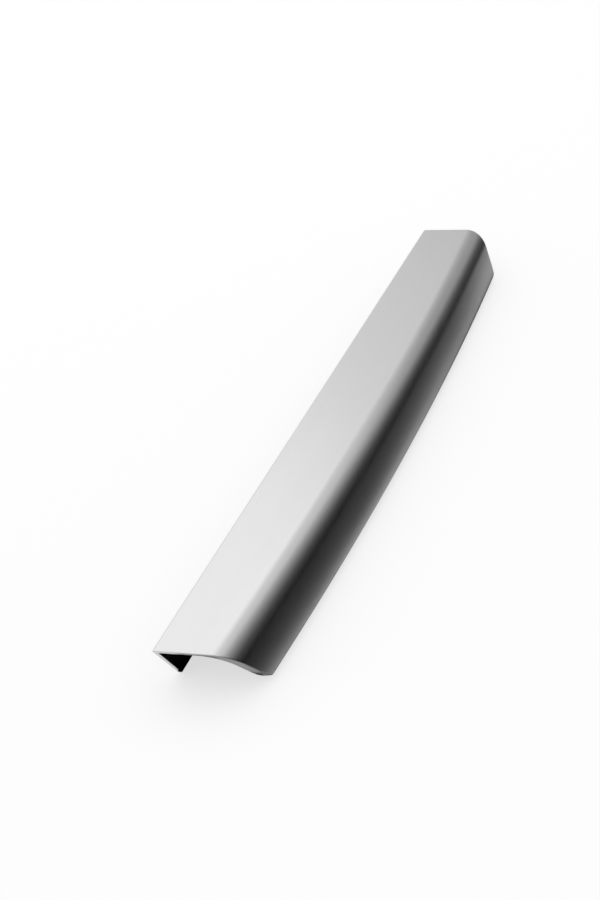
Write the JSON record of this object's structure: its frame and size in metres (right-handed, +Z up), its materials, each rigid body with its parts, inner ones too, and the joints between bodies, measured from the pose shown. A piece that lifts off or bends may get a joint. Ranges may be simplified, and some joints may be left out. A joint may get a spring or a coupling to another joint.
{
  "type": "edge pull",
  "caption": "Slim metal edge pull: flat top plate, rear screw flange and a bowed front lip that bends down to a rounded grip edge, with slanted ends.",
  "frame": {"origin": "middle of the part's box, on the level that it lies on", "axes": "+X along the length, -Y to the front, where the lip is, +Z up, out of the top plate"},
  "size_m": [0.35, 0.0414, 0.0202],
  "materials": {
    "metal": "satin brushed"
  },
  "bodies": {
    "root": {"edge_pull": "metal"}
  },
  "joints": []
}
